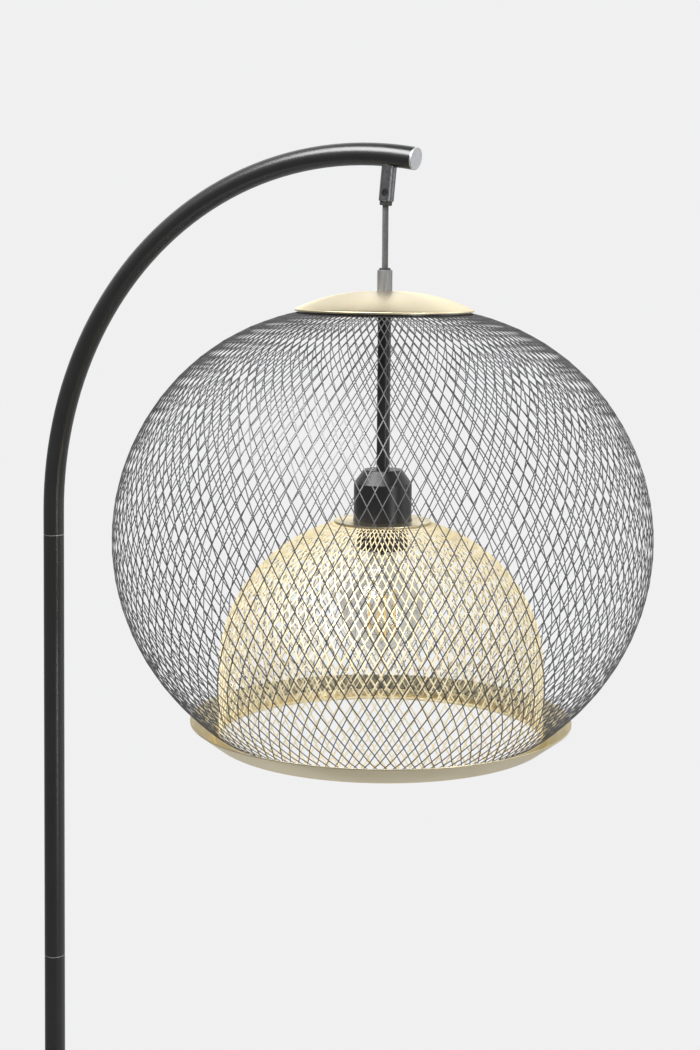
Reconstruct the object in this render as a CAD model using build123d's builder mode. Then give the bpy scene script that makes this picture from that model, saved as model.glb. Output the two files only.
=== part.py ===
"""Arched floor lamp with an open wire cage shade, a brass bell of mesh inside it and a screw-in bulb.

The origin is the centre of the foot pad's underside, +Z is up and the arch reaches towards +X.
The stand is a weighted disc, three straight tube sections and a bent one. The shade hangs by its
own cord, which leaves a grip under the arch, so every piece of the shade is placed about the
plumb line through that grip's mouth. Heights in the shade are counted from the cage's equator.
"""

import os
from math import acos, asin, cos, degrees, hypot, pi, radians, sin, sqrt

from build123d import *

# Driving dimensions, in millimetres and degrees.
# Weighted base
base_diameter = 280.0
foot_pad_thickness = 3.0
foot_pad_inset = 7.0
weight_thickness = 16.0
cover_wall = 1.5
cover_edge_radius = 5.0
cover_rim_clearance = 0.5
collar_diameter = 36.0
collar_height = 10.0
collar_chamfer = 3.0
bolt_diameter = 12.0
bolt_head_height = 7.5
bolt_head_across_flats = 19.0
washer_diameter = 28.0
washer_thickness = 2.0
counterbore_clearance = 2.0

# Pole and arch
pole_diameter = 19.0
pole_wall = 1.2
section_length = 400.0
section_count = 3
seam_chamfer = 0.4
bush_length = 20.0
bush_setback = 0.5
coupler_length = 36.0
coupler_bore = 7.6
arch_radius = 325.0
arch_straight = 22.0
arch_hang_angle = 95.5
arch_end_angle = 99.6
end_plate_thickness = 1.6
end_plug_length = 8.0

# Cord and its inlet
cord_diameter = 5.2
inlet_height = 40.0
grommet_flange_diameter = 12.0
grommet_flange_thickness = 3.0
grommet_sleeve_diameter = 8.8
lead_bend_radius = 6.0
lead_rise = 3.5

# Grip under the arch
grip_diameter = 12.6
grip_body_length = 20.0
grip_saddle_length = 8.5
grip_rim_length = 3.5
grip_rim_diameter = 10.4
grip_chamfer = 0.5
nipple_diameter = 8.0
nipple_bore = 6.0
nipple_engagement = 5.5
locknut_across_flats = 12.0
locknut_thickness = 2.5
bush_diameter = 8.1
bush_depth = 12.0
set_screw_diameter = 6.0
set_screw_socket = 3.0
set_screw_sink = 7.0
set_screw_bearing = -78.0
cord_pivot_drop = 1.6

# Cord stretch and grip above the shade
free_cord_length = 50.0
lower_grip_length = 17.6
lower_rim_length = 1.6
lower_rim_diameter = 9.6
cord_insertion = 4.0

# Wire cage
cage_diameter = 450.0
cage_crown_height = 205.8
cage_bowl_depth = 205.6
cage_shoulder_angle = 34.5
cage_crown_radius = 72.0
cage_crown_arc_radius = 189.2
cage_mouth_radius = 139.4
mesh_thickness = 0.5

# Brass cap and the plate under it
cap_diameter = 149.0
cap_stand = 17.5
cap_flat_radius = 9.0
cap_rise = 15.0
cap_lip = 1.6
cap_wall = 1.0
plate_thickness = 1.2
plate_rim_height = 3.0
plate_drop = 1.8
spacer_diameter = 16.0
vent_diameter = 14.0
vent_circle_radius = 42.0
vent_count = 6

# Brass band round the mouth
band_flange_height = 7.8
band_lift = 15.2
band_flare = 20.4
band_wall = 1.0

# Brass mesh bell
bell_shoulder_depth = 108.0
bell_crown_height = 126.0
bell_neck_radius = 38.0
hoop_wire_diameter = 3.2
hoop_drop = 1.2
hoop_lean = 0.8
collar_disc_radius = 40.5
collar_disc_wall = 1.2

# Stem and lampholder
stem_diameter = 11.0
stem_thread_depth = 14.0
cup_diameter = 48.4
cup_rim_diameter = 49.4
cup_rim_height = 1.2
cup_height = 42.8
cup_top_diameter = 32.0
cup_chamfer_height = 11.5
cup_wall = 1.2
cup_nut_across_flats = 13.0
cup_nut_thickness = 4.0
holder_skirt_diameter = 39.6
holder_skirt_drop = 23.0
holder_shoulder_height = 8.0
holder_body_diameter = 34.0
holder_body_height = 22.0
holder_ceiling = 3.6
shell_diameter = 28.8
shell_wall = 0.7
shell_length = 23.0
contact_diameter = 10.0
contact_thickness = 1.2
terminal_size = 6.0
ring_nut_diameter = 42.4
ring_nut_height = 21.5

# Bulb
bulb_diameter = 70.0
bulb_length = 112.0
bulb_neck_diameter = 24.8
bulb_neck_drop = 29.5
bulb_wall = 1.0
bulb_cap_diameter = 26.4
bulb_cap_length = 23.0
bulb_cap_wall = 0.6
insulator_height = 2.6
button_diameter = 9.6
button_height = 1.1
filament_count = 4
filament_diameter = 1.8
filament_length = 39.0
filament_circle_radius = 11.0
filament_drop = 62.0
filament_wire_diameter = 0.8
post_diameter = 3.0
post_flare_height = 12.0

# Clearances
running_gap = 0.05
fit_gap = 0.1
seat_gap = 0.2
tool_reach = 1.0


def write(part, name):
    """Label a finished piece and write it to its own file."""
    part.label = name
    export_step(part, f"parts/{name}.step")


os.makedirs("parts", exist_ok=True)

# Derived heights and places of the stand
pole_radius = pole_diameter / 2
pole_bore_radius = pole_radius - pole_wall
weight_top = foot_pad_thickness + weight_thickness
base_top = weight_top + cover_wall
weight_radius = base_diameter / 2 - cover_wall - cover_rim_clearance
counterbore_radius = washer_diameter / 2 + counterbore_clearance
bolt_seat = foot_pad_thickness + bolt_head_height + washer_thickness + 1.0
bend_start = base_top + section_count * section_length + arch_straight
seams = [base_top + (index + 1) * section_length for index in range(section_count)]
inlet_z = base_top + inlet_height
bush_bore_radius = bolt_diameter / 2 + running_gap

# The grip's axis runs from the arch's centreline towards the centre of its bend.
arch_centre = Vector(arch_radius, 0, bend_start)
hang = radians(arch_hang_angle)
hang_point = arch_centre + Vector(-cos(hang), 0, sin(hang)) * arch_radius
grip_direction = Vector(cos(hang), 0, -sin(hang))
grip_tangent = Vector(sin(hang), 0, cos(hang))
grip_axis = Axis(hang_point, grip_direction)
saddle_start = pole_radius
body_start = saddle_start + grip_saddle_length
body_end = body_start + grip_body_length
rim_end = body_end + grip_rim_length
pivot_reach = rim_end + cord_pivot_drop
cord_pivot = hang_point + grip_direction * pivot_reach
cord_radius = cord_diameter / 2
nipple_hole_radius = nipple_diameter / 2 + fit_gap
bush_hole_radius = bush_diameter / 2 + running_gap
cord_hole_radius = cord_radius + fit_gap

# Heights in the shade, counted from the cage's equator
cage_radius = cage_diameter / 2
cage_mouth_angle = degrees(acos(cage_mouth_radius / cage_radius))
cage_mouth_depth = cage_bowl_depth * sin(radians(cage_mouth_angle))


def cage_crown_level(inset):
    """Height at which the cage's crown arc ends, moved inwards by the given inset."""
    turn = radians(cage_shoulder_angle)
    across = (cage_radius - inset) * cos(turn)
    up = (cage_crown_height - inset) * sin(turn)
    run = (cage_radius - inset) * sin(turn)
    rise = (cage_crown_height - inset) * cos(turn)
    arc_radius = cage_crown_arc_radius - inset
    centre_x = across - arc_radius * rise / hypot(run, rise)
    centre_z = up - arc_radius * run / hypot(run, rise)
    return centre_z + sqrt(arc_radius**2 - (cage_crown_radius - centre_x) ** 2)


shade_x = cord_pivot.X
plate_level = cage_crown_level(0) - plate_drop
plate_rim_radius = cage_crown_radius - seat_gap
cap_top = cage_crown_level(0) + cap_stand
lower_rim_top = cap_top + lower_grip_length + lower_rim_length
cage_centre = cord_pivot.Z - free_cord_length - lower_rim_top
band_flange_top = -cage_mouth_depth - seat_gap
band_depth = cage_mouth_depth + seat_gap + band_flange_height
band_lip_depth = band_depth - band_lift
band_inner_radius = cage_mouth_radius + seat_gap
band_lip_radius = band_inner_radius + band_flare
band_flange_radius = band_inner_radius - band_wall
hoop_radius = band_flange_radius - seat_gap - hoop_wire_diameter / 2
hoop_level = -band_depth - hoop_drop + hoop_wire_diameter / 2
bell_radius = hoop_radius - hoop_lean
bell_neck_level = (
    -bell_shoulder_depth + bell_crown_height * sqrt(1 - (bell_neck_radius / bell_radius) ** 2)
)
disc_bottom = bell_neck_level + seat_gap
disc_top = disc_bottom + collar_disc_wall
cup_top = disc_top + cup_height
skirt_bottom = disc_bottom - holder_skirt_drop
holder_shoulder_radius = cup_diameter / 2 - cup_wall - running_gap
shoulder_top = disc_top + holder_shoulder_height
holder_top = disc_top + holder_body_height
holder_bore_top = disc_top + holder_ceiling
button_top = holder_bore_top - contact_thickness - fit_gap
bulb_tip = button_top - bulb_length
stem_top = plate_level
stem_bottom = cup_top


def grip_plane(reach):
    """Plane square to the grip's axis, a given reach from the arch's centreline."""
    return Plane(hang_point + grip_direction * reach, x_dir=grip_tangent, z_dir=grip_direction)


def shade_plane(level=0.0):
    """Level plane on the shade's plumb line, at a height from the cage's equator."""
    return Plane.XY.offset(cage_centre + level).move(Location((shade_x, 0, 0)))


# Radial half plane of the shade, whose first coordinate is the radius, and its axis
shade_section = Plane((shade_x, 0, cage_centre), x_dir=(1, 0, 0), z_dir=(0, -1, 0))
shade_axis = Axis((shade_x, 0, cage_centre), (0, 0, 1))

# ---------------------------------------------------------------- base

# Soft pad that the lamp stands on, glued over the bolt
with BuildPart() as foot_pad:
    with BuildSketch():
        Circle(base_diameter / 2 - foot_pad_inset)
    extrude(amount=foot_pad_thickness)
write(foot_pad.part, "foot_pad")

# Cast disc that weighs the stand down, bored for the bolt and sunk for its head
with BuildPart() as base_weight:
    with BuildSketch(Plane.XY.offset(foot_pad_thickness)):
        Circle(weight_radius)
    extrude(amount=weight_thickness)
    fillet(base_weight.edges().group_by(Axis.Z)[-1], cover_edge_radius)
    with BuildSketch(Plane.XY.offset(foot_pad_thickness)):
        Circle(bolt_diameter / 2 + fit_gap)
    extrude(amount=weight_thickness, mode=Mode.SUBTRACT)
    with BuildSketch(Plane.XY.offset(foot_pad_thickness)):
        Circle(counterbore_radius)
    extrude(amount=bolt_seat - foot_pad_thickness, mode=Mode.SUBTRACT)
write(base_weight.part, "base_weight")

# Pressed cover over the weight
with BuildPart() as base_cover:
    with BuildSketch(Plane.XZ):
        with BuildLine():
            Polyline(
                (bolt_diameter / 2 + fit_gap, weight_top),
                (bolt_diameter / 2 + fit_gap, base_top),
                (base_diameter / 2, base_top),
                (base_diameter / 2, foot_pad_thickness + cover_rim_clearance),
                (base_diameter / 2 - cover_wall, foot_pad_thickness + cover_rim_clearance),
                (base_diameter / 2 - cover_wall, weight_top),
                close=True,
            )
        make_face()
        fillet(vertices().group_by(Axis.Y)[1].sort_by(Axis.X)[-1], cover_edge_radius - cover_wall)
        fillet(vertices().group_by(Axis.Y)[-1].sort_by(Axis.X)[-1], cover_edge_radius)
    revolve(axis=Axis.Z)
write(base_cover.part, "base_cover")

# Turned collar that hides the foot of the pole
with BuildPart() as pole_collar:
    with BuildSketch(Plane.XY.offset(base_top)):
        Circle(collar_diameter / 2)
    extrude(amount=collar_height)
    chamfer(pole_collar.edges().group_by(Axis.Z)[-1], collar_chamfer)
    with BuildSketch(Plane.XY.offset(base_top)):
        Circle(pole_radius + fit_gap)
    extrude(amount=collar_height, mode=Mode.SUBTRACT)
write(pole_collar.part, "pole_collar")

# Washer and hex bolt that pull the pole down on the base
with BuildPart() as base_washer:
    with BuildSketch(Plane.XY.offset(bolt_seat - washer_thickness)):
        Circle(washer_diameter / 2)
        Circle(bolt_diameter / 2 + fit_gap, mode=Mode.SUBTRACT)
    extrude(amount=washer_thickness)
write(base_washer.part, "base_washer")

with BuildPart() as base_bolt:
    with BuildSketch(Plane.XY.offset(bolt_seat - washer_thickness - bolt_head_height)):
        RegularPolygon(bolt_head_across_flats / 2, 6, major_radius=False)
    extrude(amount=bolt_head_height)
    with BuildSketch(Plane.XY.offset(bolt_seat - washer_thickness)):
        Circle(bolt_diameter / 2)
    extrude(amount=base_top + bush_length - bolt_seat + washer_thickness)
write(base_bolt.part, "base_bolt")

# ---------------------------------------------------------------- pole

# Three straight sections, the lowest one holed at the back for the cord's inlet
section_names = ["lower_pole", "middle_pole", "upper_pole"]
for index in range(section_count):
    section_bottom = base_top + index * section_length
    with BuildPart() as pole_section:
        with BuildSketch(Plane.XY.offset(section_bottom)):
            Circle(pole_radius)
        extrude(amount=section_length)
        chamfer(pole_section.edges(), seam_chamfer)
        with BuildSketch(Plane.XY.offset(section_bottom)):
            Circle(pole_bore_radius)
        extrude(amount=section_length, mode=Mode.SUBTRACT)
        if index == 0:
            with BuildSketch(Plane((0, 0, inlet_z), z_dir=(-1, 0, 0))):
                Circle(grommet_sleeve_diameter / 2 + fit_gap)
            extrude(amount=pole_diameter, mode=Mode.SUBTRACT)
    write(pole_section.part, section_names[index])

# Threaded bushes pressed into the tube ends
bush_floors = [base_top + bush_setback]
for seam in seams:
    bush_floors += [seam - bush_setback - bush_length, seam + bush_setback]
with BuildPart() as pole_bushes:
    for bush_floor in bush_floors:
        with BuildSketch(Plane.XY.offset(bush_floor)):
            Circle(pole_bore_radius - running_gap / 2)
            Circle(bush_bore_radius, mode=Mode.SUBTRACT)
        extrude(amount=bush_length)
write(pole_bushes.part, "pole_bushes")

# Hollow studs that screw each section to the next and let the lead through
with BuildPart() as pole_couplers:
    for seam in seams:
        with BuildSketch(Plane.XY.offset(seam - coupler_length / 2)):
            Circle(bolt_diameter / 2)
            Circle(coupler_bore / 2, mode=Mode.SUBTRACT)
        extrude(amount=coupler_length)
write(pole_couplers.part, "pole_couplers")

# Rubber grommet in the back of the lowest section, where the mains cord would enter
grommet_face = pole_radius + seat_gap
with BuildPart() as cord_grommet:
    with BuildSketch(Plane((-grommet_face, 0, inlet_z), z_dir=(-1, 0, 0))):
        Circle(grommet_flange_diameter / 2)
    extrude(amount=grommet_flange_thickness)
    fillet(cord_grommet.edges().group_by(Axis.X)[0], grommet_flange_thickness / 3)
    with BuildSketch(Plane((-grommet_face, 0, inlet_z), z_dir=(1, 0, 0))):
        Circle(grommet_sleeve_diameter / 2)
    extrude(amount=seat_gap + pole_wall + tool_reach)
    with BuildSketch(Plane((0, 0, inlet_z), z_dir=(-1, 0, 0))):
        Circle(cord_hole_radius)
    extrude(amount=pole_diameter, mode=Mode.SUBTRACT)
write(cord_grommet.part, "cord_grommet")

# ---------------------------------------------------------------- arch

# Bent tube, drilled on its underside for the grip's nipple
with BuildPart() as arch_tube:
    with BuildLine(Plane.XZ):
        Line((0, seams[-1]), (0, bend_start))
        CenterArc((arch_radius, bend_start), arch_radius, 180, -arch_end_angle)
    with BuildSketch(Plane.XY.offset(seams[-1])):
        Circle(pole_radius)
        Circle(pole_bore_radius, mode=Mode.SUBTRACT)
    sweep()
    with BuildSketch(grip_plane(0)):
        Circle(nipple_hole_radius)
    extrude(amount=pole_diameter, mode=Mode.SUBTRACT)
    foot_edges = arch_tube.edges().filter_by(GeomType.CIRCLE).group_by(Axis.Z)[0]
    chamfer(foot_edges.sort_by(SortBy.LENGTH)[-1], seam_chamfer)
write(arch_tube.part, "arch_tube")

# Plug with a flat plate that closes the end of the arch
end = radians(arch_end_angle)
end_point = arch_centre + Vector(-cos(end), 0, sin(end)) * arch_radius
end_direction = Vector(sin(end), 0, cos(end))
with BuildPart() as arch_end_plug:
    with BuildSketch(Plane(end_point, z_dir=end_direction)):
        Circle(pole_radius)
    extrude(amount=end_plate_thickness)
    chamfer(arch_end_plug.edges().group_by(Axis(end_point, end_direction))[-1], seam_chamfer)
    with BuildSketch(Plane(end_point, z_dir=-end_direction)):
        Circle(pole_bore_radius - seat_gap)
    extrude(amount=end_plug_length)
write(arch_end_plug.part, "arch_end_plug")

# ---------------------------------------------------------------- grip under the arch

# Thin locknut inside the tube
locknut_reach = pole_bore_radius - 1.4 * locknut_thickness
with BuildPart() as grip_locknut:
    with BuildSketch(grip_plane(locknut_reach - locknut_thickness)):
        RegularPolygon(locknut_across_flats / 2, 6, major_radius=False)
        Circle(nipple_diameter / 2 + running_gap, mode=Mode.SUBTRACT)
    extrude(amount=locknut_thickness)
write(grip_locknut.part, "grip_locknut")

# Threaded tube from the locknut through the arch's wall into the grip
nipple_start = locknut_reach - locknut_thickness - tool_reach
with BuildPart() as grip_nipple:
    with BuildSketch(grip_plane(nipple_start)):
        Circle(nipple_diameter / 2)
        Circle(nipple_bore / 2, mode=Mode.SUBTRACT)
    extrude(amount=body_start + nipple_engagement - nipple_start)
write(grip_nipple.part, "grip_nipple")

# Spacer with a saddle that fits the round tube
with BuildPart() as grip_saddle:
    with BuildSketch(grip_plane(pole_bore_radius - grip_diameter / 4)):
        Circle(grip_diameter / 2)
        Circle(nipple_diameter / 2 + running_gap, mode=Mode.SUBTRACT)
    extrude(amount=body_start - pole_bore_radius + grip_diameter / 4)
    with BuildSketch(Plane(hang_point - grip_tangent * grip_diameter, z_dir=grip_tangent)):
        Circle(pole_radius + fit_gap)
    extrude(amount=2 * grip_diameter, mode=Mode.SUBTRACT)
write(grip_saddle.part, "grip_saddle")

# Turned grip body with a cross hole for its set screw
set_screw_reach = (body_start + nipple_engagement + body_end) / 2
screw_turn = radians(set_screw_bearing)
screw_direction = grip_tangent * cos(screw_turn) + Vector(0, 1, 0) * sin(screw_turn)
screw_centre = hang_point + grip_direction * set_screw_reach
with BuildPart() as upper_grip:
    with BuildSketch(grip_plane(body_start)):
        Circle(grip_diameter / 2)
    extrude(amount=grip_body_length)
    chamfer(upper_grip.edges().group_by(grip_axis)[-1], grip_chamfer)
    with BuildSketch(grip_plane(body_start)):
        Circle(bush_hole_radius)
    extrude(amount=grip_body_length, mode=Mode.SUBTRACT)
    with BuildSketch(Plane(screw_centre, z_dir=screw_direction)):
        Circle(set_screw_diameter / 2 + running_gap)
    extrude(amount=grip_diameter, mode=Mode.SUBTRACT)
    sink_floor = screw_centre + screw_direction * (grip_diameter / 2 - grip_chamfer)
    with BuildSketch(Plane(sink_floor, z_dir=screw_direction)):
        Circle(set_screw_sink / 2)
    extrude(amount=grip_diameter, mode=Mode.SUBTRACT)
write(upper_grip.part, "upper_grip")

# Dark insert that clamps the cord, with a rim at the grip's mouth
with BuildPart() as upper_insert:
    with BuildSketch(grip_plane(body_end - bush_depth)):
        Circle(bush_diameter / 2)
    extrude(amount=bush_depth)
    with BuildSketch(grip_plane(body_end)):
        Circle(grip_rim_diameter / 2)
    extrude(amount=grip_rim_length)
    chamfer(upper_insert.edges().group_by(grip_axis)[-1], grip_chamfer)
    with BuildSketch(grip_plane(body_end - bush_depth)):
        Circle(cord_hole_radius)
    extrude(amount=bush_depth + grip_rim_length, mode=Mode.SUBTRACT)
write(upper_insert.part, "upper_insert")

# Set screw that bears on the insert
screw_seat = screw_centre + screw_direction * (bush_diameter / 2 + fit_gap)
screw_length = grip_diameter / 2 - grip_chamfer - bush_diameter / 2 - fit_gap
with BuildPart() as grip_set_screw:
    with BuildSketch(Plane(screw_seat, z_dir=screw_direction)):
        Circle(set_screw_diameter / 2)
    extrude(amount=screw_length)
    with BuildSketch(Plane(screw_seat + screw_direction * screw_length, z_dir=-screw_direction)):
        RegularPolygon(set_screw_socket / 2, 6, major_radius=False)
    extrude(amount=screw_length * 0.6, mode=Mode.SUBTRACT)
write(grip_set_screw.part, "grip_set_screw")

# ---------------------------------------------------------------- leads and cord

# Lead held inside the stand, from the grommet up the pole and along the arch into the grip
lead_start = -grommet_face - grommet_flange_thickness + seat_gap
lead_radius = arch_radius + lead_rise
lead_turn_angle = arch_hang_angle - degrees(asin(lead_rise * sin(hang) / lead_radius))
lead_end = hang_point + grip_direction * (body_end - bush_depth / 2)
with BuildPart() as inner_lead:
    with BuildLine(Plane.XZ) as lead_route:
        FilletPolyline((lead_start, inlet_z), (0, inlet_z), (0, bend_start), radius=lead_bend_radius)
        lead_arc = CenterArc((lead_radius, bend_start), lead_radius, 180, -lead_turn_angle)
        Line(lead_arc @ 1, lead_end)
        lead_corner = lead_route.vertices().sort_by_distance(lead_arc @ 1)[0]
        fillet(lead_corner, lead_bend_radius)
    with BuildSketch(Plane((lead_start, 0, inlet_z), z_dir=(1, 0, 0))):
        Circle(cord_radius)
    sweep()
lead_length = sum(edge.length for edge in lead_route.edges())
print("inner lead", round(lead_length), "mm long, volume over section times length",
      round(inner_lead.part.volume / (pi * cord_radius**2 * lead_length), 4))
write(inner_lead.part, "inner_lead")

# Short stretch that bends at the grip's mouth, cut level where the straight stretch begins
with BuildPart() as cord_bend:
    with BuildSketch(grip_plane(body_end - bush_depth / 2)):
        Circle(cord_radius)
    extrude(amount=pivot_reach - body_end + bush_depth / 2 + cord_radius)
    split(bisect_by=Plane.XY.offset(cord_pivot.Z + running_gap), keep=Keep.TOP)
write(cord_bend.part, "cord_bend")

# Straight taut stretch that carries the shade
with BuildPart() as suspension_cord:
    with BuildSketch(shade_plane(lower_rim_top - cord_insertion)):
        Circle(cord_radius)
    extrude(amount=free_cord_length + cord_insertion)
print("free cord", round(free_cord_length + cord_pivot_drop, 1), "mm between the grips")
write(suspension_cord.part, "suspension_cord")

# Lead held inside the shade, from the lower grip down the stem to the terminals
with BuildPart() as shade_lead:
    with BuildSketch(shade_plane(holder_top + fit_gap)):
        Circle(cord_radius)
    extrude(amount=lower_rim_top - cord_insertion - running_gap - holder_top - fit_gap)
write(shade_lead.part, "shade_lead")

# ---------------------------------------------------------------- grip on the shade

with BuildPart() as lower_grip:
    with BuildSketch(shade_plane(cap_top)):
        Circle(grip_diameter / 2)
    extrude(amount=lower_grip_length)
    chamfer(lower_grip.edges().group_by(Axis.Z)[-1], grip_chamfer)
    with BuildSketch(shade_plane(cap_top)):
        Circle(bush_hole_radius)
    extrude(amount=lower_grip_length, mode=Mode.SUBTRACT)
write(lower_grip.part, "lower_grip")

lower_insert_depth = lower_grip_length - nipple_engagement - tool_reach
with BuildPart() as lower_insert:
    with BuildSketch(shade_plane(cap_top + lower_grip_length - lower_insert_depth)):
        Circle(bush_diameter / 2)
    extrude(amount=lower_insert_depth)
    with BuildSketch(shade_plane(cap_top + lower_grip_length)):
        Circle(lower_rim_diameter / 2)
    extrude(amount=lower_rim_length)
    chamfer(lower_insert.edges().group_by(Axis.Z)[-1], grip_chamfer)
    with BuildSketch(shade_plane(cap_top + lower_grip_length - lower_insert_depth)):
        Circle(cord_hole_radius)
    extrude(amount=lower_insert_depth + lower_rim_length, mode=Mode.SUBTRACT)
write(lower_insert.part, "lower_insert")

# ---------------------------------------------------------------- cap, plate and stem

# Spun brass cap, a shallow arc with a turned-down lip
cap_run = cap_diameter / 2 - cap_flat_radius
cap_arc_radius = (cap_run**2 + cap_rise**2) / (2 * cap_rise)
cap_sweep = degrees(asin(cap_run / cap_arc_radius))
cap_edge = cap_top - cap_rise
with BuildPart() as top_cap:
    with BuildSketch(shade_section):
        with BuildLine():
            Line((nipple_hole_radius, cap_top), (cap_flat_radius, cap_top))
            outer_arc = CenterArc(
                (cap_flat_radius, cap_top - cap_arc_radius), cap_arc_radius, 90, -cap_sweep
            )
            inner_arc = CenterArc(
                (cap_flat_radius, cap_top - cap_arc_radius), cap_arc_radius - cap_wall, 90, -cap_sweep
            )
            Polyline(
                outer_arc @ 1,
                (cap_diameter / 2, cap_edge - cap_lip),
                (cap_diameter / 2 - cap_wall / 2, cap_edge - cap_lip),
                inner_arc @ 1,
            )
            Line((cap_flat_radius, cap_top - cap_wall), (nipple_hole_radius, cap_top - cap_wall))
            Line((nipple_hole_radius, cap_top - cap_wall), (nipple_hole_radius, cap_top))
        make_face()
    revolve(axis=shade_axis)
write(top_cap.part, "top_cap")

# Spacer tube between the cap and the plate
with BuildPart() as cap_spacer:
    with BuildSketch(shade_plane(plate_level + plate_thickness)):
        Circle(spacer_diameter / 2)
        Circle(nipple_hole_radius, mode=Mode.SUBTRACT)
    extrude(amount=cap_top - cap_wall - plate_level - plate_thickness)
write(cap_spacer.part, "cap_spacer")

# Vented plate whose upturned rim the cage wires are welded to
with BuildPart() as crown_plate:
    with BuildSketch(shade_plane(plate_level)):
        Circle(plate_rim_radius)
    extrude(amount=plate_rim_height)
    with BuildSketch(shade_plane(plate_level + plate_thickness)):
        Circle(plate_rim_radius - plate_thickness)
    extrude(amount=plate_rim_height, mode=Mode.SUBTRACT)
    with BuildSketch(shade_plane(plate_level)):
        Circle(nipple_hole_radius)
        with PolarLocations(vent_circle_radius, vent_count):
            Circle(vent_diameter / 2)
    extrude(amount=plate_thickness, mode=Mode.SUBTRACT)
write(crown_plate.part, "crown_plate")

# Threaded tube that clamps lower grip, cap, spacer, plate and stem together
upper_nipple_bottom = stem_top - stem_thread_depth + tool_reach
with BuildPart() as upper_nipple:
    with BuildSketch(shade_plane(upper_nipple_bottom)):
        Circle(nipple_diameter / 2)
        Circle(nipple_bore / 2, mode=Mode.SUBTRACT)
    extrude(amount=cap_top + nipple_engagement - upper_nipple_bottom)
write(upper_nipple.part, "upper_nipple")

# Stem from the plate down to the lampholder's cup
with BuildPart() as stem_tube:
    with BuildSketch(shade_plane(stem_bottom)):
        Circle(stem_diameter / 2)
        Circle(nipple_diameter / 2 + running_gap, mode=Mode.SUBTRACT)
    extrude(amount=stem_top - stem_bottom)
write(stem_tube.part, "stem_tube")

# Threaded tube and nut that hold the cup up against the stem
cup_ceiling = cup_top - cup_wall
lower_nipple_bottom = cup_ceiling - cup_nut_thickness - tool_reach
with BuildPart() as lower_nipple:
    with BuildSketch(shade_plane(lower_nipple_bottom)):
        Circle(nipple_diameter / 2)
        Circle(nipple_bore / 2, mode=Mode.SUBTRACT)
    extrude(amount=stem_bottom + stem_thread_depth - lower_nipple_bottom)
write(lower_nipple.part, "lower_nipple")

with BuildPart() as cup_nut:
    with BuildSketch(shade_plane(cup_ceiling - cup_nut_thickness)):
        RegularPolygon(cup_nut_across_flats / 2, 6, major_radius=False)
        Circle(nipple_diameter / 2 + running_gap, mode=Mode.SUBTRACT)
    extrude(amount=cup_nut_thickness)
write(cup_nut.part, "cup_nut")

# ---------------------------------------------------------------- cage and band

def cage_mouth_point(inset):
    """Radius and height of the cage's lower edge, moved inwards by the given inset."""
    turn = radians(cage_mouth_angle)
    return (cage_radius - inset) * cos(turn), -(cage_bowl_depth - inset) * sin(turn)


def cage_outline(inset):
    """Draw half of the cage's outline, moved inwards by the given inset, and return its crown."""
    radius = cage_radius - inset
    EllipticalCenterArc((0, 0), radius, cage_bowl_depth - inset, arc_size=-cage_mouth_angle)
    shoulder = EllipticalCenterArc(
        (0, 0), radius, cage_crown_height - inset, arc_size=cage_shoulder_angle
    )
    return TangentArc(
        shoulder @ 1, (cage_crown_radius, cage_crown_level(inset)), tangent=shoulder % 1
    )


# The expanded wire mesh as a skin of its outer shape, flattened above and below the equator
with BuildPart() as cage_mesh:
    with BuildSketch(shade_section):
        with BuildLine():
            outer_crown = cage_outline(0)
            inner_crown = cage_outline(mesh_thickness)
            Line(outer_crown @ 1, inner_crown @ 1)
            Line(cage_mouth_point(0), cage_mouth_point(mesh_thickness))
        make_face()
    revolve(axis=shade_axis)
write(cage_mesh.part, "cage_mesh")

# Flared brass band, with an inner flange that carries the cage's edge and the bell's hoop
band_slope = band_lift / band_flare
band_rise = band_wall * sqrt(1 + band_slope**2)
with BuildPart() as mouth_band:
    with BuildSketch(shade_section):
        with BuildLine():
            Polyline(
                (band_lip_radius, -band_lip_depth),
                (band_lip_radius, -band_lip_depth + band_rise),
                (band_inner_radius, -band_depth + band_rise),
                (band_inner_radius, band_flange_top),
                (band_flange_radius, band_flange_top),
                (band_flange_radius, -band_depth),
                (band_inner_radius, -band_depth),
                close=True,
            )
        make_face()
    revolve(axis=shade_axis)
write(mouth_band.part, "mouth_band")

# ---------------------------------------------------------------- bell

# Brass mesh bell as a skin: a straight wall below and a quarter ellipse above
neck_angle = degrees(acos(bell_neck_radius / bell_radius))
bell_foot = hoop_level + sqrt((hoop_wire_diameter / 2) ** 2 - hoop_lean**2) + seat_gap
with BuildPart() as bell_mesh:
    with BuildSketch(shade_section):
        with BuildLine():
            dome_out = EllipticalCenterArc(
                (0, -bell_shoulder_depth), bell_radius, bell_crown_height, arc_size=neck_angle
            )
            dome_in = EllipticalCenterArc(
                (0, -bell_shoulder_depth),
                bell_radius - mesh_thickness,
                bell_crown_height - mesh_thickness,
                arc_size=neck_angle,
            )
            Line(dome_out @ 1, dome_in @ 1)
            Polyline(
                dome_out @ 0,
                (bell_radius, bell_foot),
                (bell_radius - mesh_thickness, bell_foot),
                dome_in @ 0,
            )
        make_face()
    revolve(axis=shade_axis)
write(bell_mesh.part, "bell_mesh")

# Wire hoop at the bell's foot, inside the band's flange
with BuildPart() as bell_hoop:
    with BuildSketch(shade_section):
        with Locations((hoop_radius, hoop_level)):
            Circle(hoop_wire_diameter / 2)
    revolve(axis=shade_axis)
write(bell_hoop.part, "bell_hoop")

# Flat brass disc that the bell hangs from
skirt_radius = holder_skirt_diameter / 2
with BuildPart() as bell_disc:
    with BuildSketch(shade_plane(disc_bottom)):
        Circle(collar_disc_radius)
        Circle(skirt_radius + fit_gap, mode=Mode.SUBTRACT)
    extrude(amount=collar_disc_wall)
write(bell_disc.part, "bell_disc")

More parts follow.
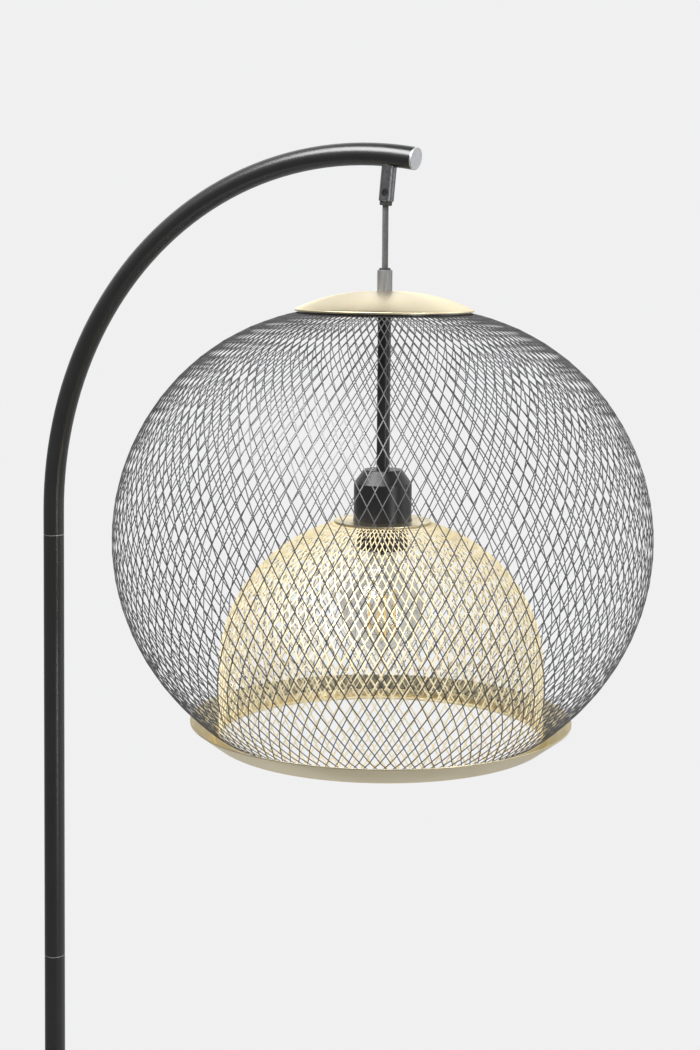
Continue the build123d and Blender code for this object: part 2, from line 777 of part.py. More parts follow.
# ---------------------------------------------------------------- lampholder

# Pressed cup with a bevelled shoulder and a rolled rim
cup_radius = cup_diameter / 2
with BuildPart() as lampholder_cup:
    with BuildSketch(shade_section):
        with BuildLine():
            Polyline(
                (nipple_hole_radius, cup_top),
                (cup_top_diameter / 2, cup_top),
                (cup_radius, cup_top - cup_chamfer_height),
                (cup_radius, disc_top + cup_rim_height),
                (cup_rim_diameter / 2, disc_top + cup_rim_height),
                (cup_rim_diameter / 2, disc_top),
                (cup_radius - cup_wall, disc_top),
                (cup_radius - cup_wall, cup_top - cup_chamfer_height),
                (cup_top_diameter / 2 - cup_wall / 2, cup_ceiling),
                (nipple_hole_radius, cup_ceiling),
                close=True,
            )
        make_face()
        fillet(vertices().group_by(Axis.Y)[-1].sort_by(Axis.X)[-1], cup_wall)
    revolve(axis=shade_axis)
write(lampholder_cup.part, "lampholder_cup")

# Moulded holder: a shoulder on the disc, a long skirt below it and the terminal block above
with BuildPart() as lampholder_body:
    with BuildSketch(shade_section):
        with BuildLine():
            Polyline(
                (0, holder_top),
                (holder_body_diameter / 2, holder_top),
                (holder_body_diameter / 2, shoulder_top),
                (holder_shoulder_radius, shoulder_top),
                (holder_shoulder_radius, disc_top),
                (skirt_radius, disc_top),
                (skirt_radius, skirt_bottom),
                (shell_diameter / 2 + fit_gap, skirt_bottom),
                (shell_diameter / 2 + fit_gap, holder_bore_top),
                (0, holder_bore_top),
                close=True,
            )
        make_face()
    revolve(axis=shade_axis)
write(lampholder_body.part, "lampholder_body")

# Threaded shell that the bulb screws into
with BuildPart() as lampholder_shell:
    with BuildSketch(shade_plane(holder_bore_top - shell_length)):
        Circle(shell_diameter / 2)
        Circle(shell_diameter / 2 - shell_wall, mode=Mode.SUBTRACT)
    extrude(amount=shell_length)
write(lampholder_shell.part, "lampholder_shell")

# Centre contact under the holder's ceiling
with BuildPart() as centre_contact:
    with BuildSketch(shade_plane(holder_bore_top - contact_thickness)):
        Circle(contact_diameter / 2)
    extrude(amount=contact_thickness)
write(centre_contact.part, "centre_contact")

# Two terminal blocks beside the end of the lead
terminal_offset = cord_radius + seat_gap + terminal_size / 2
with BuildPart() as terminals:
    with BuildSketch(shade_plane(holder_top)):
        with Locations((-terminal_offset, 0), (terminal_offset, 0)):
            Rectangle(terminal_size, terminal_size)
    extrude(amount=terminal_size)
write(terminals.part, "terminals")

# Ring nut on the skirt that clamps the disc from below
with BuildPart() as ring_nut:
    with BuildSketch(shade_plane(disc_bottom - ring_nut_height)):
        Circle(ring_nut_diameter / 2)
        Circle(skirt_radius + running_gap, mode=Mode.SUBTRACT)
    extrude(amount=ring_nut_height)
    chamfer(ring_nut.edges().filter_by(GeomType.CIRCLE).group_by(Axis.Z)[0], grip_chamfer)
write(ring_nut.part, "ring_nut")

# ---------------------------------------------------------------- bulb

# Screw cap, insulator and contact button
bulb_cap_top = button_top - button_height - insulator_height
bulb_cap_bottom = bulb_cap_top - bulb_cap_length
with BuildPart() as bulb_cap:
    with BuildSketch(shade_plane(bulb_cap_bottom)):
        Circle(bulb_cap_diameter / 2)
        Circle(bulb_cap_diameter / 2 - bulb_cap_wall, mode=Mode.SUBTRACT)
    extrude(amount=bulb_cap_length)
write(bulb_cap.part, "bulb_cap")

with BuildPart() as bulb_insulator:
    with BuildSketch(shade_section):
        with BuildLine():
            Polyline(
                (0, bulb_cap_top),
                (bulb_cap_diameter / 2 - bulb_cap_wall, bulb_cap_top),
                (button_diameter / 2, bulb_cap_top + insulator_height),
                (0, bulb_cap_top + insulator_height),
                close=True,
            )
        make_face()
    revolve(axis=shade_axis)
write(bulb_insulator.part, "bulb_insulator")

with BuildPart() as bulb_button:
    with BuildSketch(shade_plane(button_top - button_height)):
        Circle(button_diameter / 2)
    extrude(amount=button_height)
write(bulb_button.part, "bulb_button")

# Blown glass: a straight neck, a hollow flank and a round end, tangent to one another
ball_centre = bulb_tip + bulb_diameter / 2
neck_top = bulb_cap_bottom + 0.3 * bulb_cap_length
flank_level = button_top - bulb_neck_drop


def bulb_outline(inset):
    """Draw half of the bulb's outline, moved inwards by the given inset."""
    neck = bulb_neck_diameter / 2
    ball = bulb_diameter / 2
    rise = flank_level - ball_centre
    flank = (neck**2 + rise**2 - ball**2) / (2 * (ball - neck))
    centre_x = neck + flank
    reach = sqrt(centre_x**2 + rise**2)
    ball_angle = degrees(asin(rise / reach))
    CenterArc((0, ball_centre), ball - inset, -90, 90 + ball_angle)
    CenterArc((centre_x, flank_level), flank + inset, 180, ball_angle)
    Line((neck - inset, flank_level), (neck - inset, neck_top))
    return neck - inset


with BuildPart() as bulb_glass:
    with BuildSketch(shade_section):
        with BuildLine():
            outer_neck = bulb_outline(0)
            inner_neck = bulb_outline(bulb_wall)
            Line((outer_neck, neck_top), (inner_neck, neck_top))
            Line((0, bulb_tip), (0, bulb_tip + bulb_wall))
        make_face()
    revolve(axis=shade_axis)
write(bulb_glass.part, "bulb_glass")

# Glass post that carries the filaments, flared where it is fused to the neck
post_top = neck_top
post_flare_radius = bulb_neck_diameter / 2 - bulb_wall - seat_gap
filament_top = button_top - filament_drop
filament_bottom = filament_top - filament_length
with BuildPart() as filament_post:
    with BuildSketch(shade_section):
        with BuildLine():
            Polyline(
                (0, post_top),
                (post_flare_radius, post_top),
                (post_diameter / 2, post_top - post_flare_height),
                (post_diameter / 2, filament_bottom),
                (0, filament_bottom),
                close=True,
            )
        make_face()
    revolve(axis=shade_axis)
write(filament_post.part, "filament_post")

# Wires that hold the filaments at both ends
wire_reach = filament_circle_radius - filament_diameter / 2 - post_diameter / 2
with BuildPart() as filament_wires:
    for level in (filament_top - filament_diameter, filament_bottom + filament_diameter):
        for index in range(filament_count):
            spoke = radians(index * 360 / filament_count + 45)
            toward = Vector(cos(spoke), sin(spoke), 0)
            foot = Vector(shade_x, 0, cage_centre + level) + toward * (post_diameter / 2 + running_gap)
            with BuildSketch(Plane(foot, z_dir=toward)):
                Circle(filament_wire_diameter / 2)
            extrude(amount=wire_reach - 2 * running_gap)
write(filament_wires.part, "filament_wires")

# Upright glowing filaments
with BuildPart() as filaments:
    with BuildSketch(shade_plane(filament_bottom)):
        with PolarLocations(filament_circle_radius, filament_count, start_angle=45):
            Circle(filament_diameter / 2)
    extrude(amount=filament_length)
write(filaments.part, "filaments")

print("shade axis x", round(shade_x, 3), "cord pivot z", round(cord_pivot.Z, 3))
print("cage centre z", round(cage_centre, 4), "crown", round(cage_crown_level(0), 4), round(band_depth, 3))
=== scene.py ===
from math import acos, asin, atan2, cos, hypot, pi, radians, sin, sqrt

import bmesh
import bpy
from mathutils import Matrix, Vector


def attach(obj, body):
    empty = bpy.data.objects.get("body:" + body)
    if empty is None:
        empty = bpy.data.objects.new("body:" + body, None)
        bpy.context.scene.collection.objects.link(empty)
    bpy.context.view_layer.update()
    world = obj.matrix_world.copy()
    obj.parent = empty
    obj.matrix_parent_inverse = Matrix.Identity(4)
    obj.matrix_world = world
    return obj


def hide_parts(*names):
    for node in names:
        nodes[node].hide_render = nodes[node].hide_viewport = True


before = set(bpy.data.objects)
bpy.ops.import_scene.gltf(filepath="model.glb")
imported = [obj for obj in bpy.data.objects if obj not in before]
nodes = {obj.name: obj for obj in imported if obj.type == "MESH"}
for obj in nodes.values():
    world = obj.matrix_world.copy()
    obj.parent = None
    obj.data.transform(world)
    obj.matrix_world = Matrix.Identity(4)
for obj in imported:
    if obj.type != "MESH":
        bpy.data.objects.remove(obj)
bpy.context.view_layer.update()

# ---------------------------------------------------------------- camera
# The photograph's viewpoint: standing height, to the right of the lamp and in front of it,
# looking a little down, with the picture's frame raised on the lens.
photo_camera = bpy.data.objects.new("photo_camera", bpy.data.cameras.new("photo_camera"))
photo_camera.data.sensor_width = 36.0
photo_camera.data.lens = 65.86
photo_camera.data.shift_x = -0.01266
photo_camera.data.shift_y = -0.1428
photo_camera.matrix_world = (
    Matrix.Translation((1.14267, -1.38504, 1.49543))
    @ Matrix.Rotation(radians(30.336), 4, "Z")
    @ Matrix.Rotation(radians(86.0), 4, "X")
    @ Matrix.Rotation(radians(0.506), 4, "Z")
)
bpy.context.scene.collection.objects.link(photo_camera)
bpy.context.scene.camera = photo_camera

# ---------------------------------------------------------------- cord between the grips
# Round textile-covered cord, 5.2 mm thick, that the shade hangs from. It leaves the insert under
# the arch and goes down into the insert of the shade's grip, drawn straight by the shade's weight.
shade_x = 0.352019
equator = 1.248112


def new_finish(name):
    """A node material with its shader and the object coordinates that its patterns read."""
    finish = bpy.data.materials.new(name)
    finish.use_nodes = True
    tree = finish.node_tree
    place = tree.nodes.new("ShaderNodeTexCoord").outputs["Object"]
    return finish, tree, tree.nodes["Principled BSDF"], place


def centred(tree, place, centre=(shade_x, 0, equator)):
    """Object coordinates counted from a point of the lamp."""
    mapping = tree.nodes.new("ShaderNodeMapping")
    mapping.inputs["Location"].default_value = [-value for value in centre]
    tree.links.new(place, mapping.inputs["Vector"])
    return mapping.outputs["Vector"]


def maths(tree, operation, first, second=0.0):
    """One step of arithmetic between sockets or numbers."""
    step = tree.nodes.new("ShaderNodeMath")
    step.operation = operation
    for socket, value in zip(step.inputs, (first, second)):
        if isinstance(value, (int, float)):
            socket.default_value = value
        else:
            tree.links.new(value, socket)
    return step.outputs["Value"]


def grain(tree, place, scale, detail=3.0):
    """Noise of a given scale, in grains to the metre."""
    noise = tree.nodes.new("ShaderNodeTexNoise")
    noise.inputs["Scale"].default_value = scale
    noise.inputs["Detail"].default_value = detail
    tree.links.new(place, noise.inputs["Vector"])
    return noise.outputs["Fac"]


def ramp(tree, value, stops):
    """Colours along a value; each stop is a place and a colour."""
    bands = tree.nodes.new("ShaderNodeValToRGB")
    while len(bands.color_ramp.elements) < len(stops):
        bands.color_ramp.elements.new(0.5)
    for element, (at, colour) in zip(bands.color_ramp.elements, stops):
        element.position = at
        element.color = (*colour, 1)
    tree.links.new(value, bands.inputs["Fac"])
    return bands.outputs["Color"]


def level(tree, value, low, high, start=0.0, end=1.0, course="LINEAR"):
    """A value's stretch from start to end, spread between two numbers."""
    spread = tree.nodes.new("ShaderNodeMapRange")
    spread.interpolation_type = course
    spread.inputs["From Min"].default_value = start
    spread.inputs["From Max"].default_value = end
    spread.inputs["To Min"].default_value = low
    spread.inputs["To Max"].default_value = high
    tree.links.new(value, spread.inputs["Value"])
    return spread.outputs["Result"]


def relief(tree, shader, height, depth, strength=1.0):
    """Bump of a given depth in metres on the shader."""
    bump = tree.nodes.new("ShaderNodeBump")
    bump.inputs["Strength"].default_value = strength
    bump.inputs["Distance"].default_value = depth
    tree.links.new(height, bump.inputs["Height"])
    tree.links.new(bump.outputs["Normal"], shader.inputs["Normal"])


def cylinder_place(tree, place, centre):
    """Angle in radians, radius and height about an upright axis."""
    split = tree.nodes.new("ShaderNodeSeparateXYZ")
    tree.links.new(centred(tree, place, centre), split.inputs["Vector"])
    x, y, z = (split.outputs[axis] for axis in "XYZ")
    angle = maths(tree, "ARCTAN2", y, x)
    squares = maths(tree, "MULTIPLY", x, x), maths(tree, "MULTIPLY", y, y)
    radius = maths(tree, "SQRT", maths(tree, "ADD", *squares))
    return angle, radius, z


cord_finish, tree, shader, place = new_finish("textile_cord")
angle, radius, height = cylinder_place(tree, place, (shade_x, 0, equator))
strands_round = maths(tree, "MULTIPLY", angle, 8)
strands_along = maths(tree, "MULTIPLY", height, 5200)
right_lay = maths(tree, "SINE", maths(tree, "ADD", strands_round, strands_along))
left_lay = maths(tree, "SINE", maths(tree, "SUBTRACT", strands_round, strands_along))
braid = maths(tree, "MULTIPLY", right_lay, left_lay)
fibres = maths(tree, "MULTIPLY", grain(tree, place, 700), 0.6)
fleck = maths(tree, "ADD", level(tree, braid, 0.2, 0.5), fibres)
tones = [(0.35, (0.03, 0.03, 0.032)), (0.72, (0.11, 0.11, 0.112)), (0.95, (0.42, 0.41, 0.4))]
tree.links.new(ramp(tree, fleck, tones), shader.inputs["Base Color"])
shader.inputs["Roughness"].default_value = 0.85
shader.inputs["Sheen Weight"].default_value = 0.3
relief(tree, shader, braid, 0.00025)

cord_radius = 0.0026
bend_height, cord_foot = 1.523102, 1.469102
cord_line = bpy.data.curves.new("hanging_cord", "CURVE")
cord_line.dimensions = "3D"
cord_line.bevel_depth = cord_radius
cord_line.bevel_resolution = 8
cord_line.resolution_u = 24
cord_line.use_fill_caps = True
cord_run = cord_line.splines.new("NURBS")
cord_points = [(shade_x, 0, bend_height), (shade_x, 0, 1.5145), (shade_x, 0, 1.500), (shade_x, 0, cord_foot)]
cord_run.points.add(len(cord_points) - 1)
for point, position in zip(cord_run.points, cord_points):
    point.co = (*position, 1)
cord_run.order_u = 3
cord_run.use_endpoint_u = True
hanging_cord = bpy.data.objects.new("hanging_cord", cord_line)
bpy.context.scene.collection.objects.link(hanging_cord)
cord_line.materials.append(cord_finish)
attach(hanging_cord, "hanging_cord")
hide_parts("cord_bend", "suspension_cord")

# ---------------------------------------------------------------- room
# Plain pale floor that fades into an even pale background, a wide soft lamp overhead and two soft
# lamps at the sides, as in a small studio. To glossy rays only, the floor carries a painted shadow:
# it is darker within 0.7 to 0.9 m of the shade's plumb line, so the brass band reflects a shaded floor.
floor_finish, tree, shader, place = new_finish("pale_floor_reflected_shadow")
angle, radius, height = cylinder_place(tree, place, (0.1, 0, 0))
from_shade = cylinder_place(tree, place, (shade_x, 0, 0))[1]
# painted shadow: the floor darkens near the shade's plumb line, and only in reflections
painted_shadow_patch = level(tree, from_shade, 1.0, 0.0, start=0.70, end=0.90)
in_gloss = tree.nodes.new("ShaderNodeLightPath").outputs["Is Glossy Ray"]
painted_shadow_in_reflections = maths(tree, "MULTIPLY", painted_shadow_patch, in_gloss)
tones = [(0.0, (0.72, 0.72, 0.725)), (1.0, (0.35, 0.35, 0.355))]
tree.links.new(ramp(tree, painted_shadow_in_reflections, tones), shader.inputs["Base Color"])
shader.inputs["Roughness"].default_value = 0.7
shader.inputs["Specular IOR Level"].default_value = 0.2
fade = level(tree, radius, 1.0, 0.0, start=0.45, end=1.45, course="SMOOTHSTEP")
speckle = maths(tree, "MULTIPLY", grain(tree, place, 60), 0.02)
tree.links.new(maths(tree, "SUBTRACT", fade, speckle), shader.inputs["Alpha"])

floor_mesh = bmesh.new()
bmesh.ops.create_circle(floor_mesh, cap_ends=True, segments=96, radius=1.6)
floor_data = bpy.data.meshes.new("floor")
floor_mesh.to_mesh(floor_data)
floor_mesh.free()
floor = bpy.data.objects.new("floor", floor_data)
floor_data.materials.append(floor_finish)
bpy.context.scene.collection.objects.link(floor)

room = bpy.data.worlds.new("room")
room.use_nodes = True
bpy.context.scene.world = room
tree = room.node_tree
soft_sky = tree.nodes["Background"]
soft_sky.inputs["Color"].default_value = (1, 1, 1, 1)
soft_sky.inputs["Strength"].default_value = 0.4
pale_wall = tree.nodes.new("ShaderNodeBackground")
pale_wall.inputs["Color"].default_value = (0.873, 0.873, 0.880, 1)
mirrored = tree.nodes.new("ShaderNodeBackground")
facing = tree.nodes.new("ShaderNodeSeparateXYZ")
tree.links.new(tree.nodes.new("ShaderNodeTexCoord").outputs["Generated"], facing.inputs["Vector"])
toward_wall = maths(tree, "MULTIPLY", maths(tree, "ADD", facing.outputs["Y"], 1.0), 0.5)
wall_light = ramp(tree, toward_wall, [
    (0.0, (0.34, 0.34, 0.343)), (0.46, (0.36, 0.36, 0.363)),
    (0.60, (0.6, 0.6, 0.605)), (0.72, (0.873, 0.873, 0.880)),
])
tree.links.new(wall_light, mirrored.inputs["Color"])
greys = (0.0, 0.45), (0.22, 0.97), (0.64, 0.97), (0.95, 0.18)
by_height = ramp(tree, facing.outputs["Z"], [(at, (tone, tone, tone)) for at, tone in greys])
tree.links.new(maths(tree, "MULTIPLY", by_height, 1.4), mirrored.inputs["Strength"])
ray = tree.nodes.new("ShaderNodeLightPath")
choose = tree.nodes.new("ShaderNodeMixShader")
straight = maths(tree, "MAXIMUM", ray.outputs["Is Camera Ray"], ray.outputs["Is Transmission Ray"])
tree.links.new(straight, choose.inputs["Fac"])
tree.links.new(soft_sky.outputs["Background"], choose.inputs[1])
tree.links.new(pale_wall.outputs["Background"], choose.inputs[2])
choose_gloss = tree.nodes.new("ShaderNodeMixShader")
tree.links.new(ray.outputs["Is Glossy Ray"], choose_gloss.inputs["Fac"])
tree.links.new(choose.outputs["Shader"], choose_gloss.inputs[1])
tree.links.new(mirrored.outputs["Background"], choose_gloss.inputs[2])
tree.links.new(choose_gloss.outputs["Shader"], tree.nodes["World Output"].inputs["Surface"])

for name, position, aim, width, tall, power in (
    ("lamp_overhead", (0.0, -1.35, 3.1), (0.3, 0, 1.3), 2.6, 1.3, 122.0),
    ("lamp_strip", (2.6, -0.72, 1.3), (0.2, 0, 1.25), 0.2, 1.9, 15.0),
    ("lamp_right", (2.6, 1.6, 1.8), (0.35, 0, 1.25), 1.4, 1.8, 12.0),
):
    lamp = bpy.data.objects.new(name, bpy.data.lights.new(name, "AREA"))
    lamp.data.shape = "RECTANGLE"
    lamp.data.size = width
    lamp.data.size_y = tall
    lamp.data.energy = power
    lamp.location = position
    lamp.rotation_euler = (Vector(position) - Vector(aim)).to_track_quat("Z", "Y").to_euler()
    bpy.context.scene.collection.objects.link(lamp)

bpy.context.scene.view_settings.view_transform = "Standard"

# ---------------------------------------------------------------- weighted base and pole
# Cast disc under a pressed and powder-coated cover, standing on a moulded rubber pad. The bolt
# and its washer draw the pole down from below, and a turned collar hides its foot. The pole's
# sections meet on thin steel rings that show as pale lines.


def carry(finish, *names):
    """Give nodes of the model their finish."""
    for name in names:
        nodes[name].data.materials.clear()
        nodes[name].data.materials.append(finish)


def mottled(tree, shader, pattern, dark, pale):
    """Base colour that wanders between two near tones."""
    tree.links.new(ramp(tree, pattern, [(0.3, dark), (0.7, pale)]), shader.inputs["Base Color"])


def turned(outline, steps=240, facing=0.0, onto=Matrix.Translation((shade_x, 0, equator))):
    """Mesh turned from radii and heights in mm, set on the shade's plumb line from the equator."""
    mesh = bmesh.new()
    line = [mesh.verts.new((r / 1000, 0, z / 1000)) for r, z in outline]
    edges = [mesh.edges.new(pair) for pair in zip(line, line[1:])]
    bmesh.ops.rotate(mesh, verts=mesh.verts, cent=(0, 0, 0), matrix=Matrix.Rotation(radians(facing), 3, "Z"))
    bmesh.ops.spin(
        mesh, geom=line + edges, cent=(0, 0, 0), axis=(0, 0, 1), angle=radians(360), steps=steps,
        use_merge=True,
    )
    bmesh.ops.remove_doubles(mesh, verts=mesh.verts, dist=1e-6)
    bmesh.ops.recalc_face_normals(mesh, faces=mesh.faces)
    bmesh.ops.transform(mesh, matrix=onto, verts=mesh.verts)
    return mesh


def piece(name, mesh, finish, body, stands_for=(), smooth=True):
    """Link a finished mesh as a piece that rides on a body of the lamp."""
    data = bpy.data.meshes.new(name)
    mesh.to_mesh(data)
    mesh.free()
    data.materials.append(finish)
    if smooth:
        data.shade_smooth()
    made = bpy.data.objects.new(name, data)
    bpy.context.scene.collection.objects.link(made)
    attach(made, body)
    if stands_for:
        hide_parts(*stands_for)


rubber_finish, tree, shader, place = new_finish("foot_rubber")
mottled(tree, shader, grain(tree, place, 140), (0.028, 0.028, 0.029), (0.045, 0.045, 0.046))
shader.inputs["Roughness"].default_value = 0.82
relief(tree, shader, grain(tree, place, 1400), 0.0002, 0.5)
carry(rubber_finish, "foot_pad", "cord_grommet")

cast_finish, tree, shader, place = new_finish("cast_iron_primer")
mottled(tree, shader, grain(tree, place, 90), (0.1, 0.1, 0.105), (0.17, 0.17, 0.18))
shader.inputs["Roughness"].default_value = 0.75
relief(tree, shader, grain(tree, place, 500, 6), 0.0006, 0.6)
carry(cast_finish, "base_weight")

coat_finish, tree, shader, place = new_finish("black_powder_coat")
mottled(tree, shader, grain(tree, place, 35), (0.004, 0.004, 0.0045), (0.006, 0.006, 0.0065))
tree.links.new(level(tree, grain(tree, place, 160, 2), 0.26, 0.34), shader.inputs["Roughness"])
shader.inputs["Specular IOR Level"].default_value = 0.9
relief(tree, shader, grain(tree, place, 2600, 2), 0.00004, 0.2)
carry(
    coat_finish, "base_cover", "pole_collar", "lower_pole", "middle_pole", "upper_pole",
    "arch_tube", "crown_plate",
)

steel_finish, tree, shader, place = new_finish("zinc_plated_steel")
mottled(tree, shader, grain(tree, place, 300), (0.42, 0.42, 0.43), (0.56, 0.56, 0.58))
shader.inputs["Metallic"].default_value = 1.0
tree.links.new(level(tree, grain(tree, place, 700), 0.28, 0.45), shader.inputs["Roughness"])
relief(tree, shader, grain(tree, place, 3000), 0.00004, 0.3)
carry(
    steel_finish, "base_washer", "base_bolt", "pole_bushes", "pole_couplers", "grip_locknut",
    "grip_nipple", "cap_spacer", "upper_nipple", "lower_nipple", "cup_nut",
)

ring_bore, ring_edge, ring_half = 9.1, 9.42, 0.35
for count, seam in enumerate((420.5, 820.5, 1220.5), 1):
    foot, top = seam - ring_half, seam + ring_half
    section = [(ring_bore, foot), (ring_edge, foot), (ring_edge, top), (ring_bore, top), (ring_bore, foot)]
    joint = turned(section, 72, onto=Matrix())
    piece(f"pole_joint_ring_{count}", joint, steel_finish, "stand", smooth=False)

lead_finish, tree, shader, place = new_finish("lead_sheath")
mottled(tree, shader, grain(tree, place, 200), (0.03, 0.03, 0.032), (0.05, 0.05, 0.052))
shader.inputs["Roughness"].default_value = 0.6
relief(tree, shader, grain(tree, place, 1200), 0.0001, 0.4)
carry(lead_finish, "inner_lead", "shade_lead")

# ---------------------------------------------------------------- arch end and grip under it
# The tube's end is closed by a flat welded plate; its pale grey is a painted highlight for the light
# that its flat face catches. The grip is turned from metal and blasted to a dark grey; a small screw in
# its side bears on the dark insert that holds the cord. The held end of the cord stays in the insert
# and is round below, where the hanging cord turns about it.
plate_highlight_finish, tree, shader, place = new_finish("end_plate_painted_highlight")
# painted highlight: pale grey base colour on the flat end face
mottled(tree, shader, grain(tree, place, 300), (0.53, 0.545, 0.56), (0.60, 0.615, 0.63))
shader.inputs["Metallic"].default_value = 0.8
shader.inputs["Roughness"].default_value = 0.38
relief(tree, shader, grain(tree, place, 2600, 2), 0.00006, 0.35)
carry(plate_highlight_finish, "arch_end_plug")

grip_finish, tree, shader, place = new_finish("blasted_grey_metal")
mottled(tree, shader, grain(tree, place, 400), (0.11, 0.111, 0.116), (0.17, 0.171, 0.178))
shader.inputs["Metallic"].default_value = 0.85
shader.inputs["Roughness"].default_value = 0.33
relief(tree, shader, grain(tree, place, 4200), 0.00005, 0.5)
carry(grip_finish, "grip_saddle", "upper_grip")

brushed_finish, tree, shader, place = new_finish("brushed_grey_metal")
angle, radius, height = cylinder_place(tree, place, (shade_x, 0, equator))
along = tree.nodes.new("ShaderNodeCombineXYZ")
tree.links.new(maths(tree, "MULTIPLY", angle, 0.0063), along.inputs["X"])
tree.links.new(maths(tree, "MULTIPLY", height, 0.03), along.inputs["Z"])
strokes = grain(tree, along.outputs["Vector"], 1400, 3)
mottled(tree, shader, strokes, (0.14, 0.142, 0.147), (0.27, 0.272, 0.278))
shader.inputs["Metallic"].default_value = 0.6
shader.inputs["Roughness"].default_value = 0.42
relief(tree, shader, strokes, 0.00005, 0.5)
carry(brushed_finish, "lower_grip")

screw_finish, tree, shader, place = new_finish("blackened_screw")
mottled(tree, shader, grain(tree, place, 500), (0.05, 0.05, 0.052), (0.1, 0.1, 0.103))
shader.inputs["Metallic"].default_value = 0.9
shader.inputs["Roughness"].default_value = 0.3
relief(tree, shader, grain(tree, place, 3000), 0.00005, 0.4)
carry(screw_finish, "grip_set_screw")

insert_finish, tree, shader, place = new_finish("dark_insert_plastic")
mottled(tree, shader, grain(tree, place, 260), (0.016, 0.016, 0.017), (0.026, 0.026, 0.028))
shader.inputs["Roughness"].default_value = 0.5
relief(tree, shader, grain(tree, place, 2000), 0.00006, 0.4)
carry(insert_finish, "upper_insert", "lower_insert")

held_radius, held_length, grip_lean = 2.58, 8.0, 5.48
round_end = [
    (held_radius * cos(radians(turn)), held_radius * sin(radians(turn))) for turn in range(-80, 1, 10)
]
held_end = turned(
    [(0, -held_radius)] + round_end + [(held_radius, held_length), (0, held_length)], 48,
    onto=Matrix.Translation((shade_x, 0, bend_height)) @ Matrix.Rotation(radians(grip_lean), 4, "Y"),
)
piece("cord_held_end", held_end, cord_finish, "stand")

# ---------------------------------------------------------------- brass cap
# Shallow cap spun from brass sheet, with fine turning marks round it that stretch its shine, and
# a turned-down lip.


def soften(mesh, width, sharp=30.0, segments=2):
    """Round the mesh's sharp edges a little, as a tool leaves them."""
    edges = [edge for edge in mesh.edges if edge.is_manifold and edge.calc_face_angle(0) > radians(sharp)]
    bmesh.ops.bevel(
        mesh, geom=edges, offset=width / 1000, segments=segments, profile=0.5, affect="EDGES", material=-1
    )


brass_finish, tree, shader, place = new_finish("turned_brass")
angle, radius, height = cylinder_place(tree, place, (shade_x, 0, equator))
turning = tree.nodes.new("ShaderNodeCombineXYZ")
tree.links.new(maths(tree, "MULTIPLY", angle, 0.004), turning.inputs["X"])
tree.links.new(radius, turning.inputs["Y"])
tree.links.new(height, turning.inputs["Z"])
marks = grain(tree, turning.outputs["Vector"], 2600, 2)
mottled(tree, shader, grain(tree, place, 24, 4), (0.80, 0.70, 0.47), (0.86, 0.77, 0.53))
shader.inputs["Metallic"].default_value = 1.0
tree.links.new(level(tree, marks, 0.24, 0.42), shader.inputs["Roughness"])
shader.inputs["Anisotropic"].default_value = 0.75
round_marks = tree.nodes.new("ShaderNodeTangent")
round_marks.direction_type = "RADIAL"
round_marks.axis = "Z"
tree.links.new(round_marks.outputs["Tangent"], shader.inputs["Tangent"])
relief(tree, shader, marks, 0.00004, 0.6)

cap_top, cap_gauge, cap_bore = 205.79, 1, 4.1
cap_flat, cap_reach, cap_fall = 9, 65.5, 15.0
cap_arc = (cap_reach**2 + cap_fall**2) / (2 * cap_fall)
cap_sweep = asin(cap_reach / cap_arc)


def cap_side(inset):
    """The cap's curved side from its flat middle out, an inset below the upper face."""
    curve, top = cap_arc - inset, cap_top - inset
    turns = [cap_sweep * i / 24 for i in range(25)]
    return [(cap_flat + curve * sin(turn), top - curve * (1 - cos(turn))) for turn in turns]


cap_lip = [(74.5, 190.2), (74.5, 189.25), (73.6, 189.25)]
cap_middle = [(cap_bore, cap_top - cap_gauge), (cap_bore, cap_top)]
cap_mesh = turned(
    [(cap_bore, cap_top)] + cap_side(0) + cap_lip + cap_side(cap_gauge)[::-1] + cap_middle
)
soften(cap_mesh, 0.25, 40)
piece("spun_cap", cap_mesh, brass_finish, "shade", ["top_cap"])

# ---------------------------------------------------------------- wire cage
# Round cage of expanded steel wire, black satin coated: 120 diamonds round, each a little under
# 12 mm wide at the equator, welded to the crown plate above and folded into the band below.


def walked(outline, start, step):
    """Points of an outline a step apart, where the step depends on the radius, from a point on."""
    points, run, due = [outline[start]], 0.0, step(outline[start][0])
    for before, after in zip(outline[start:], outline[start + 1:]):
        run += hypot(after[0] - before[0], after[1] - before[1])
        if run >= due:
            points.append(after)
            run, due = 0.0, step(after[0])
    if run > 0.3 * due:
        points.append(outline[-1])
    else:
        points[-1] = outline[-1]
    return points


def diamond_height(columns, strand):
    """How tall the diamonds are at a radius, for a strand of constant length between the knots."""
    return lambda r: 2 * sqrt(strand**2 - (pi * r / columns) ** 2)


def expanded(outline, columns, facing, strand_width, gauge, knot):
    """Open diamond mesh on an outline turned about the plumb line."""
    mesh = turned(outline, columns, facing)
    centre = Vector((shade_x, 0, equator))
    outward = sum(
        (face.calc_center_median() - centre).to_2d().dot(face.normal.to_2d()) for face in mesh.faces
    )
    if outward < 0:
        bmesh.ops.reverse_faces(mesh, faces=mesh.faces)
    rows = list(mesh.edges)
    bmesh.ops.poke(mesh, faces=mesh.faces, offset=0.00025)
    bmesh.ops.dissolve_edges(mesh, edges=[edge for edge in rows if not edge.is_boundary], use_verts=False)
    holes = list(mesh.faces)
    bmesh.ops.inset_individual(mesh, faces=holes, thickness=strand_width / 2000, use_even_offset=True)
    for hole in holes:
        if len(hole.verts) == 4:
            middle = hole.calc_center_median()
            by_height = sorted(hole.verts, key=lambda corner: corner.co.z)
            for corner in (by_height[0], by_height[-1]):
                corner.co += (middle - corner.co).normalized() * knot / 1000
    bmesh.ops.delete(mesh, geom=holes, context="FACES")
    bmesh.ops.solidify(mesh, geom=mesh.faces, thickness=gauge / 1000)
    return mesh


